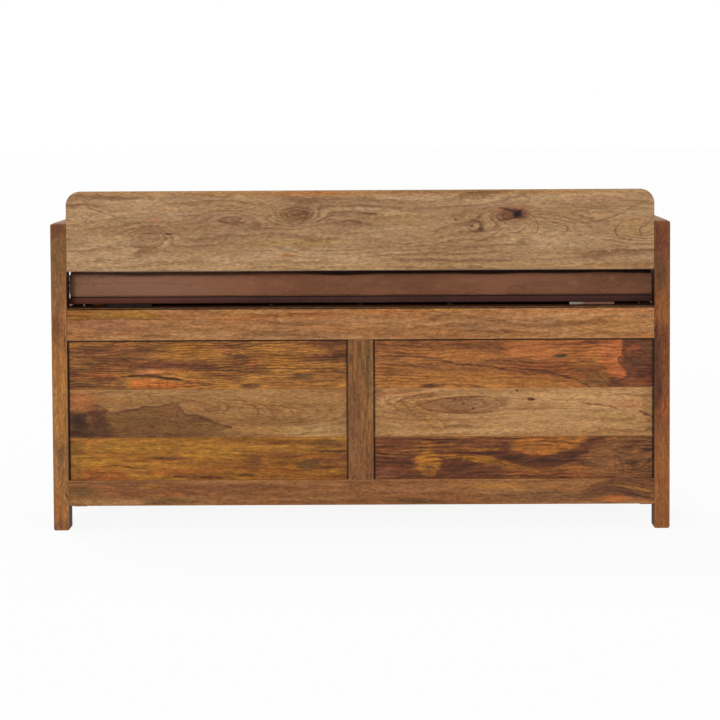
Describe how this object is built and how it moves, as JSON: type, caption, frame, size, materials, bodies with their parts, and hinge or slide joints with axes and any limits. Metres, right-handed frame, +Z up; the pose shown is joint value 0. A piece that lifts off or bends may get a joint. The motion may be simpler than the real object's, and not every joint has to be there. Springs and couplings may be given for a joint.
{
  "type": "storage bench",
  "caption": "Straight wooden storage bench with low arms, a low backrest board, panelled sides and a leather-padded lid that lifts on two hinges.",
  "frame": {"origin": "on the floor, under the middle of the bench's outline", "axes": "+Z up, the front faces -Y, +X to the right seen from the front"},
  "size_m": [1.1, 0.4, 0.605],
  "materials": {
    "leather": "semi-matt brown leather, lightly wrinkled",
    "foam": "cream upholstery foam",
    "lining": "black bonded lining",
    "steel": "zinc-plated steel",
    "rubber": "black rubber",
    "plywood": "bare plywood",
    "batten_wood": "planed mango wood",
    "dowel_wood": "beech",
    "backrest_wood": "oiled mango wood, pale tan",
    "panel_wood": "oiled mango wood, mixed tan and brown",
    "rail_wood": "oiled mango wood, golden brown",
    "post_wood": "oiled mango wood, darker brown"
  },
  "bodies": {
    "frame": {"back_bottom_rail": "rail_wood", "back_floor_cleat": "batten_wood", "back_left_lower_plank": "panel_wood", "back_left_middle_plank": "panel_wood", "back_left_post": "post_wood", "back_left_upper_plank": "panel_wood", "back_right_lower_plank": "panel_wood", "back_right_middle_plank": "panel_wood", "back_right_post": "post_wood", "back_right_upper_plank": "panel_wood", "back_stile": "rail_wood", "back_top_rail": "rail_wood", "backrest_board": "backrest_wood", "backrest_dowels": "dowel_wood", "batten_screws": "steel", "floor_screws": "steel", "front_bottom_rail": "rail_wood", "front_floor_cleat": "batten_wood", "front_left_lower_plank": "panel_wood", "front_left_middle_plank": "panel_wood", "front_left_post": "post_wood", "front_left_upper_plank": "panel_wood", "front_right_lower_plank": "panel_wood", "front_right_middle_plank": "panel_wood", "front_right_post": "post_wood", "front_right_upper_plank": "panel_wood", "front_stile": "rail_wood", "front_top_rail": "rail_wood", "hinge_batten": "batten_wood", "hinge_frame_screws": "steel", "hinge_pins": "steel", "left_arm_rail": "rail_wood", "left_bottom_rail": "rail_wood", "left_hinge_frame_leaf": "steel", "left_lower_plank": "panel_wood", "left_middle_plank": "panel_wood", "left_top_rail": "rail_wood", "left_upper_plank": "panel_wood", "lid_bumpers": "rubber", "lid_stay_studs": "steel", "right_arm_rail": "rail_wood", "right_bottom_rail": "rail_wood", "right_hinge_frame_leaf": "steel", "right_lower_plank": "panel_wood", "right_middle_plank": "panel_wood", "right_top_rail": "rail_wood", "right_upper_plank": "panel_wood", "storage_floor": "plywood"},
    "lid": {"cushion_cover": "leather", "cushion_foam": "foam", "left_hinge_lid_leaf": "steel", "left_lid_stay": "steel", "lid_board": "plywood", "lid_leather_wrap": "leather", "lid_lining": "lining", "lid_screws": "steel", "right_hinge_lid_leaf": "steel", "right_lid_stay": "steel"}
  },
  "joints": [
    {"name": "lid_hinge", "type": "hinge", "parent": "frame", "child": "lid", "pos_m": [0, 0.15125, 0.39975], "axis": [-1, 0, 0], "range_deg": [0, 55]}
  ]
}
